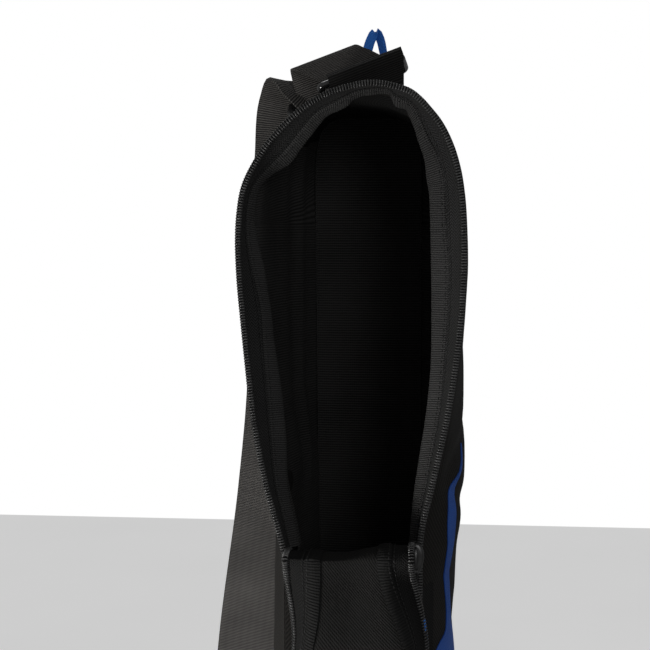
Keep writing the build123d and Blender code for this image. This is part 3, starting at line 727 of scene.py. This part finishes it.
front_lining[..., 1] += 12.6
front_lining[..., 2] = np.minimum(front_lining[..., 2], fold_z - 9)
slab("lining_front_cloth", front_lining[1:], LINING, lining_cloth, replaces="lining_front")

ys = np.linspace(front_y + .5, back_low - .5, 40)
section = gusset[-1]
half = np.interp(ys, section[:, 1], section[:, 0])
half = half * np.minimum(1, .9 + .1 * np.sqrt(np.clip(1 - ((ys - ys[20]) / (ys[-1] - ys[20])) ** 8, 0, 1)))
spread = np.linspace(-1, 1, 16)
base = points(half[:, None] * spread, ys[:, None], floor_z)
slab("base_cloth", base, floor_z, shell_cloth, replaces="base_panel", flip=True)

# ---- flap
hang = fold_z - cad("flap_outer")[0][2] - 6
roll_y, roll_half = fold_box[:, 1].mean() + 1.5, 10.5


def flap_half_width(l):
    return FLAP_HALF + 13.5 * smooth(l / 70)


def flap_base(x, l):
    """The flap's cloth: x across from its middle line, l down from the fold (below 0 is over the roll)."""
    x, l = np.broadcast_arrays(np.asarray(x, float), np.asarray(l, float))
    a = np.abs(x)
    core = flap_half_width(l) - FLAP_EDGE
    turn = np.arccos(np.clip((FLAP_HALF - core) / FLAP_EDGE, -1, 1)) * (1 - .45 * smooth((l - 190) / 90))
    steps = 24
    w = (np.arange(steps) + .5) / steps
    s = a[..., None] * w
    angle = turn[..., None] * smooth((s - core[..., None] + 5) / 13)
    px = np.cos(angle).mean(-1) * a * np.sign(x)
    back_off = np.sin(angle).mean(-1) * a
    crest = np.maximum(2.2 + 6.0 * smooth((x + 8) / 40) - 3.0 * smooth((-x - 14) / 18) + .8 * np.sin(x / 7), 1.2)
    phi = np.pi * np.clip((l + ROLL) / ROLL, 0, 1)
    y_roll = roll_y + roll_half * np.cos(phi)
    z_roll = fold_z + crest * np.sin(phi)
    sway = 6.0 * smooth(l / 50) - 5.0 * smooth((l - 100) / 150)
    y_hang = roll_y - roll_half - 13.5 * smooth(l / 60) + 5.0 * smooth((l - 200) / 80)
    fold_mark = 1.3 * np.sin(x / 6.5 + 1 + l / 40) * bump(l, 18, 30) + .8 * np.sin(l / 23 + x / 30) * smooth(l / 60)
    hanging = l > 0
    y = np.where(hanging, y_hang + back_off + fold_mark, y_roll + fold_mark)
    z = np.where(hanging, fold_z - l, z_roll)
    px = px - 2.6 * smooth(-x / FLAP_HALF) * (1 - smooth(l / 60))
    return np.stack([px + np.where(hanging, sway, 0), y, z], -1)


def flap_at(x, l, lift):
    """Points lifted off the flap's cloth, and its normals there."""
    p = flap_base(x, l)
    n = unit(np.cross(flap_base(x, np.asarray(l) + .6) - p, flap_base(np.asarray(x) + .6, l) - p))
    return p + n * lift, n


def bend_flap(obj):
    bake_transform(obj)


tip_start = hang - TIP_RADIUS
turns = np.linspace(0, math.pi / 2, 26)[:-1]
flap_l = np.concatenate([np.linspace(-ROLL, 0, 16)[:-1], np.linspace(0, tip_start, 60)[:-1],
                         tip_start + TIP_RADIUS * np.sin(turns)])
limit = np.where(flap_l < tip_start, flap_half_width(flap_l),
                 flap_half_width(tip_start) * np.sqrt(np.clip(1 - ((flap_l - tip_start) / TIP_RADIUS) ** 2, 0, 1)))
cols = np.linspace(-1, 1, 45)
flap_grid = flap_base(limit[:, None] * cols, np.repeat(flap_l[:, None], 45, 1))
flap_sheet = slab("flap_cloth_sheet", flap_grid, 1.8, flap_cloth, body=None,
                  replaces=("flap_lining", "flap_outer", "flap_fold"))
bend_flap(flap_sheet)

side_l = np.concatenate([np.linspace(-ROLL, 0, 22)[:-1], np.linspace(0, tip_start, 110)[:-1]])
arc = np.linspace(0, math.pi, 60)
path2 = np.concatenate([
    np.stack([-flap_half_width(side_l), side_l], 1),
    np.stack([-flap_half_width(tip_start) * np.cos(arc), tip_start + TIP_RADIUS * np.sin(arc)], 1),
    np.stack([flap_half_width(side_l[::-1]), side_l[::-1]], 1),
])
t2 = unit(np.gradient(path2, axis=0))
in2 = np.stack([-t2[:, 1], t2[:, 0]], 1)
in2 = in2 * np.where((in2[:, 0] * path2[:, 0] + in2[:, 1] * (path2[:, 1] - 120))[:, None] > 0, -1, 1)


def inset(d, lift):
    """A line d in from the flap's edge."""
    q = path2 + in2 * d
    return flap_at(q[:, 0], q[:, 1], lift)


def flap_strip(name, d0, d1, lift, thick, steps, material, replaces, crown=0.0):
    """A strip of the flap between two lines in from its edge."""
    rows = []
    for k in range(steps):
        w = k / (steps - 1)
        rows.append(inset(d0 + (d1 - d0) * w, lift + crown * math.sin(math.pi * w))[0])
    p = np.stack(rows, axis=1)
    faces_back = bool(normals(p)[60, 1, 1] > 0)
    bend_flap(slab(name, p, thick, material, body=None, replaces=replaces, flip=faces_back))


flap_strip("flap_tape", 1.0, 13.5, .55, .7, 8, flap_tape, "flap_zipper_tape")
flap_strip("flap_binding_band", 13.0, 21.5, .9, 1.6, 9, flap_binding, "flap_binding", crown=.9)
for k, d in enumerate((11.6, 14.6)):
    line, n = inset(d, .75 + .9 * k)
    bend_flap(stitches(f"flap_stitches_{k}", line, n, body=None, pitch=3.0, length=2.1))
line, n = inset(1.6, 1.0)
inner_line, _ = inset(2.6, 1.0)
bend_flap(teeth("flap_coil", line, unit(inner_line - line), n, coil_mat, body=None, replaces="flap_zipper_coil"))

# ---- webbing, rings and loops


def band(name, rows, width, thick, across, material, replaces, count, crown, body="bag", slot="webbing", steps=9,
         square=True, rest=None):
    """A strap along a smooth line. across gives the sideways direction at each point, crown how far
    its middle bulges, and rest the height of what it lies on."""
    line = spline(rows, count)
    t = unit(np.gradient(line, axis=0))
    s = across(line)
    if square:
        s = unit(s - t * np.sum(s * t, axis=1, keepdims=True))
    n = unit(np.cross(t, s))
    w = np.linspace(-1, 1, steps)
    p = line[:, None] + s[:, None] * (w * width / 2)[None, :, None]
    bulge = crown * (1 - w**2)[None, :, None] * (1 + .5 * np.sin(np.arange(count) / 17))[:, None, None]
    p = p + n[:, None] * bulge
    if rest:
        p[..., 2] = np.maximum(p[..., 2], rest(p[..., 0]))
    return slab(name, p, thick, material, body, replaces), line


def fixed(direction):
    """One sideways direction for the whole of a band."""
    return lambda line: many(direction, len(line))


def strap_across(line):
    roll = np.radians(20.0 * np.clip((line[:, 2] - (top_z - 60)) / 60, 0, 1))
    return points(np.cos(roll), 0, np.sin(roll))


def back_at(z):
    return back_low - lean * z


lower_z = cad("lower_ring")[1][2] - 2.5
over = [(-22, 135, -5), (-24, 134.5, 4), (-29, 135.5, 12), (-36, 138, 16), (-46, 147, 17), (-54, 158, 2)]
down = [(-59, 14, 38), (-66, 26, 120), (-72, 37, 218), (-82, 52, 290), (-106, 83, 427), (-123, 99, 590),
        (-125, 107, 740), (-114, 108, 880), (-90, 106, 1000), (-62, 101, 1100), (-38, 92, 1180), (-22, 75, 1240)]
lower = [(-22, 75, 90), (-10, 50, 122), (-3, 28, 108), (0, 17, 70)]
stretch = (top_z - lower_z) / 1150.0
main = [(x, front_y + b, top_z + a) for x, b, a in over]
main += [(x, back_at(top_z - d * stretch) + g, top_z - d * stretch) for x, g, d in down]
strap, strap_line = band("strap_webbing", main, 50, 1.7, strap_across, web_cloth, replaces="shoulder_strap",
                         count=420, crown=.8)

bar_low = np.array([0, cad("lower_ring")[0][1] + 2.5, lower_z])
free_low = bar_low + 20 * np.array([0, math.sin(math.radians(15)), -math.cos(math.radians(15))])
wrap = 3.9  # from the middle of a ring's bar to the middle of the webbing round it
turn_low = [free_low + [0, wrap * math.sin(a), -wrap * math.cos(a)]
            for a in np.radians([0, -60, -120, -180, -240, -290])]
tail = [(x, back_at(lower_z - d) + g, lower_z - d) for x, g, d in lower]
lower_end, _ = band("strap_lower_webbing", [main[-1]] + tail[1:] + turn_low, 50, 1.7, fixed(RIGHTWARD), web_cloth,
                    body=None, replaces="strap_lower_end", count=110, crown=.4)
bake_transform(lower_end)

bar_roll, ring_lean = math.radians(20), math.radians(70)
bar = np.array([math.cos(bar_roll), 0, math.sin(bar_roll)])
down_bar = np.array([bar[2], 0, -bar[0]])
held = np.array([-2.0, front_y + 90, top_z + 17])
free_dir = down_bar * math.cos(ring_lean) + [0, math.sin(ring_lean), 0]
free = held + free_dir * 20
r_front, r_top = np.array(FORWARD), -down_bar


def bag_top(x):
    """Height of the bag's rounded top at a place across it, along the outline just behind the rim."""
    _, high, roundness, drop = outlines[1]
    return widest_z + (RIM_TO_WIDEST - drop) * (1 - np.clip(np.abs(x) / high, 0, 1) ** roundness) ** (1 / roundness)


# the tab: sewn to the bag, up over the ring's bar and down behind
tab_rows = [held + r_front * 4.0 - [0, 0, z] for z in (34, 26, 19, 12, 6)]
tab_rows += [held + (r_front * math.cos(a) + r_top * math.sin(a)) * 4.1 for a in np.radians([0, 45, 90, 135, 180])]
tab_rows += [held - r_front * 4.0 - [0, 0, z] for z in (6, 12, 19, 26, 34)]
band("tab_webbing", [row + bar * 4.6 for row in tab_rows], 52, 1.8, fixed(bar), dark_web, replaces="top_tab",
     count=120, crown=0.0, steps=21, square=False, rest=bag_top)

# the strap's end: round the ring's free bar, up and back over the glide
turns_end = [(-8, 112, 20), (-19, 115, 26), (-27, 118, 29), (-30, 122, 29), (-30, 127, 24), (-27, 130, 12),
             (-24, 132, 1)]
end_rows = [free + [0, 4, -3.0], free + [0, -1, -3.9], free + [0, -4.0, 0], free + [0, 0, 3.9] + [-2, -1, 0.4]]
end_rows += [(x, front_y + b, top_z + a) for x, b, a in turns_end]
end_loop, _ = band("strap_end_webbing", end_rows, 46, 1.7, fixed(bar), web_cloth, body=None,
                   replaces="strap_end_loop", count=120, crown=0.0, square=False)
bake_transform(end_loop)

# lower tab and its patch on the back
slope = unit(np.array([0, -lean, 1.0]))
out = unit(np.array([0, 1.0, lean]))
patch_box = cad("lower_patch")
patch_mid = np.array([0, back_at(patch_box[:, 2].mean()), patch_box[:, 2].mean()])
su = np.linspace(-1, 1, 15)
corner = grid(su, su)
squircle = corner * (1 - .07 * np.abs(corner[..., ::-1]) ** 8)
up_half, side_half = slope * 45, np.array([33, 0, 0])
patch = patch_mid + out * 1.2 + squircle[..., :1] * up_half + squircle[..., 1:] * side_half
slab("patch_cloth", patch, SHELL, shell_cloth, replaces="lower_patch",
     flip=bool(normals(patch)[7, 7] @ out < 0))
for k, grow in enumerate((.9, .82)):
    a = np.linspace(0, 2 * math.pi, 160)
    sq = np.stack([squared(np.cos(a), .25), squared(np.sin(a), .25)], 1) * grow
    stitch_line = patch_mid + out * 1.3 + sq[:, :1] * up_half + sq[:, 1:] * side_half
    stitches(f"patch_stitches_{k}", stitch_line, many(out, 160))
foot = patch_mid + slope * 28 + out * 3.2
low_rows = [foot, foot - slope * 20, (0, bar_low[1] - 1.4, lower_z + 12), bar_low + [0, wrap, 2]]
low_rows += [bar_low + [0, wrap * math.cos(a), -wrap * math.sin(a)]
             for a in np.radians([20, 60, 90, 140, 180])]
low_rows += [(0, bar_low[1] - 2.6, lower_z + 10), foot - slope * 24 - out * 1.4]
band("lower_tab_webbing", low_rows, 50, 1.6, fixed(RIGHTWARD), web_cloth, replaces="lower_tab", count=90, crown=0.0)

# hang loop of narrow ribbon
loop_box = cad("hang_loop")
ly, lt = loop_box[:, 1].mean(), loop_box[1][2]
loop_rows = [(-9, ly, lt - 84), (-6, ly, lt - 50), (-1.5, ly, lt - 20), (2.2, ly - .4, lt - 8),
             (5.0, ly + .3, lt - 3.2), (7.4, ly + .8, lt - 7), (10, ly + 1, lt - 17), (12.5, ly + 1, lt - 50),
             (14, ly + 1, lt - 84)]


def loop_across(line):
    w = smooth((line[:, 0] - 1) / 12)
    a = np.radians(12 + 34 * w)
    return points(np.cos(a), -np.sin(a), 0)


band("hang_ribbon", loop_rows, 7.0, .7, loop_across, ribbon_cloth, "hang_loop", 90, .15, slot="blue_ribbon",
     steps=5, rest=lambda x: 0 * x + top_z - 4.5)

# coloured bands on the sides: height, front edge and back edge behind the rim
band_rows = [(1428, 44, 45.5), (1414, 33, 37), (1403, 20, 28), (1393, 19, 29.5), (1365, 24.5, 35), (1340, 30, 41),
             (1319, 34, 46), (1311, 32, 52), (1305, 21, 61), (1299, 14, 65), (1262, 14, 70), (1190, 18, 76),
             (1000, 40, 88), (760, 70, 100), (500, 98, 130), (330, 118, 150)]


def side_band(side, name, node):
    """A band laid on one side wall, following its folds."""
    rows = spline(band_rows, 260)
    rows = rows[np.argsort(-rows[:, 0])]
    laid = []
    column = shell_points[:legs + 110] if side < 0 else shell_points[-legs - 110:]
    column = column[np.argsort(column[:, 6, 2])]
    for z, a, b in rows:
        if side < 0:  # the left one starts further back
            a, b = a + 42 * smooth((z - 900) / 300), b + 42 * smooth((z - 900) / 300)
        x_of, y_of = ([np.interp(z, column[:, j, 2], column[:, j, k]) for j in range(column.shape[1])]
                      for k in (0, 1))
        ys_here = np.linspace(front_y + a, front_y + b, 9)
        xs_here = np.interp(ys_here, y_of, x_of)
        laid.append(points(xs_here, ys_here, z))
    p = np.array(laid)
    faces_in = bool(normals(p)[100, 4, 0] * side < 0)
    slab(name, p, .7, blue_cloth, replaces=node, flip=faces_in, offset=.55)


side_band(1, "band_right", "side_band_right")
side_band(-1, "band_left", "side_band_left")

# ---- slider pull: a thin looped cord with a small tip
pull_box, cord_box, tip_box = cad("slider_pull"), cad("pull_cord"), cad("pull_tip")
px, py = pull_box[:, 0].mean(), pull_box[:, 1].mean()


def swing(z):
    """How far the pull hangs to the right at a height."""
    return 5.0 * smooth((pull_box[1][2] - 4 - z) / 34)


a = np.linspace(0, 2 * math.pi, 60)
cord_mid, cord_half = cord_box[:, 2].mean(), (cord_box[1][2] - cord_box[0][2]) / 2
cz = cord_mid + cord_half * np.cos(a)
cord_line = points(px + 1.5 * np.sin(a) + swing(cz), py + .5 * np.sin(a * 2), cz)
ct = unit(np.gradient(cord_line, axis=0))
cs = unit(np.cross(many(FORWARD, 60), ct))
sweep("pull_loop", cord_line, cs, np.cross(ct, cs), ellipse(.62, .62, 8), web_cloth, "pull",
      "pull_cord", sharp=180)
tz = np.linspace(tip_box[1][2] + 1, tip_box[0][2], 14)
tip_line = points(px + swing(tz), py, tz)
w = np.array([.5, .8, 1, 1, 1, 1, 1, 1, 1, 1, .95, .8, .55, .2])
prof = np.array(ellipse(1.9, 1.3, 12))
sweep("pull_end", tip_line, many(RIGHTWARD, 14), many(FORWARD, 14), prof[None] * w[:, None, None],
      ribbon_cloth, "pull", "pull_tip", sharp=180)

# ---- zipper slider: a domed teardrop with a bail
slider_box = cad("zipper_slider")
sx, slider_mid = slider_box[:, 0].mean(), slider_box[0][2] + 17


def teardrop(name, y_back, depth, scale, replaces=()):
    """A domed plate, broad and round above and narrow below."""
    angles = np.linspace(0, 2 * math.pi, 49)[:-1]
    shape = np.stack([np.cos(angles) * (5.1 + 1.1 * np.sin(angles)), 10.4 * np.sin(angles)], 1) * scale
    levels = [(0.0, .98), (.35, 1.0), (.7, .97), (.92, .86), (1.0, .62), (.97, .3), (.93, .02)]
    verts = [(sx + x * k, y_back - depth * h, slider_mid + z * k) for h, k in levels for x, z in shape]
    m = len(angles)
    faces = [*tube_faces(len(levels), m)[:, [1, 2, 3, 0]], range(m), range(len(verts) - m, len(verts))[::-1]]
    finish_piece(make(name, verts, faces, None, gunmetal, 50), "slider", replaces)


teardrop("slider_front", front_y - 3.4, 3.2, 1.0, "zipper_slider")
teardrop("slider_rear", front_y + 4.6, 1.6, .9)
bail_a = np.linspace(0, math.pi, 20)
bail_line = points(sx, front_y - 5.6 - 3.6 * np.sin(bail_a) ** .6, slider_mid - .5 - 7.6 * np.cos(bail_a))
sweep("slider_bail", bail_line, many(RIGHTWARD, 20), unit(np.cross(np.gradient(bail_line, axis=0), RIGHTWARD)),
      ellipse(1.3, .55, 12), gunmetal, "slider", sharp=180)

# ---- tri-glide, lying back on the bag's top
g_mid = np.array([-26.0, front_y + 138.5, top_z - 1.5])
g_up, g_side = unit(np.array([0, .86, .5])), np.array([1.0, 0, .06])
g_out = unit(np.cross(g_up, g_side))
a = np.linspace(0, 2 * math.pi, 97)
frame_line = g_mid + squared(np.cos(a), .3)[:, None] * g_side * 28 + squared(np.sin(a), .42)[:, None] * g_up * 10.5
fr_t = unit(np.gradient(frame_line, axis=0))
fr_t[0] = fr_t[-1] = unit(fr_t[0] + fr_t[-1])
fr_n = many(g_out, 97)
round_bar = ellipse(2.2, 1.5, 14)
sweep("glide_frame", frame_line, unit(np.cross(fr_n, fr_t)), fr_n, round_bar, glide_mat,
      replaces="strap_triglide", sharp=180)
mid_line = g_mid + np.linspace(-27, 27, 12)[:, None] * g_side
sweep("glide_bar", mid_line, many(g_up, 12), many(g_out, 12), round_bar, glide_mat, sharp=180)

# ---- hard CAD pieces keep their shape
for node, material in (("slider_pull", gunmetal), ("zipper_top_stop", coil_mat),
                       ("zipper_bottom_stop", gunmetal), ("top_ring", ring_mat), ("lower_ring", ring_mat),
                       ("base_board", board_mat)):
    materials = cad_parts[node].data.materials
    for i in range(len(materials)):
        materials[i] = material
    if not materials:
        materials.append(material)

floor_mesh = bpy.data.meshes.new("floor")
corners = [(-1, -1), (1, -1), (1, 1), (-1, 1)]
floor_mesh.from_pydata([(x * FLOOR_HALF, y * FLOOR_HALF, 0) for x, y in corners], [], [(0, 1, 2, 3)])
floor = bpy.data.objects.new("floor", floor_mesh)
scene.collection.objects.link(floor)
fn = Nodes("floor_paper")
paper = fn.ramp(fn.noise(fn.space_mm(), 700.0), [(.3, (.80, .80, .80)), (.7, (.86, .86, .86))])
fn.link(paper, fn.shader.inputs["Base Color"])
put(fn.shader, {"Roughness": .9, "Emission Color": (1, 1, 1, 1)})
seen_by_camera = fn.add("ShaderNodeLightPath")
fn.link(fn.math("MULTIPLY", seen_by_camera.outputs["Is Camera Ray"], .45), fn.shader.inputs["Emission Strength"])
floor_mesh.materials.append(fn.mat)
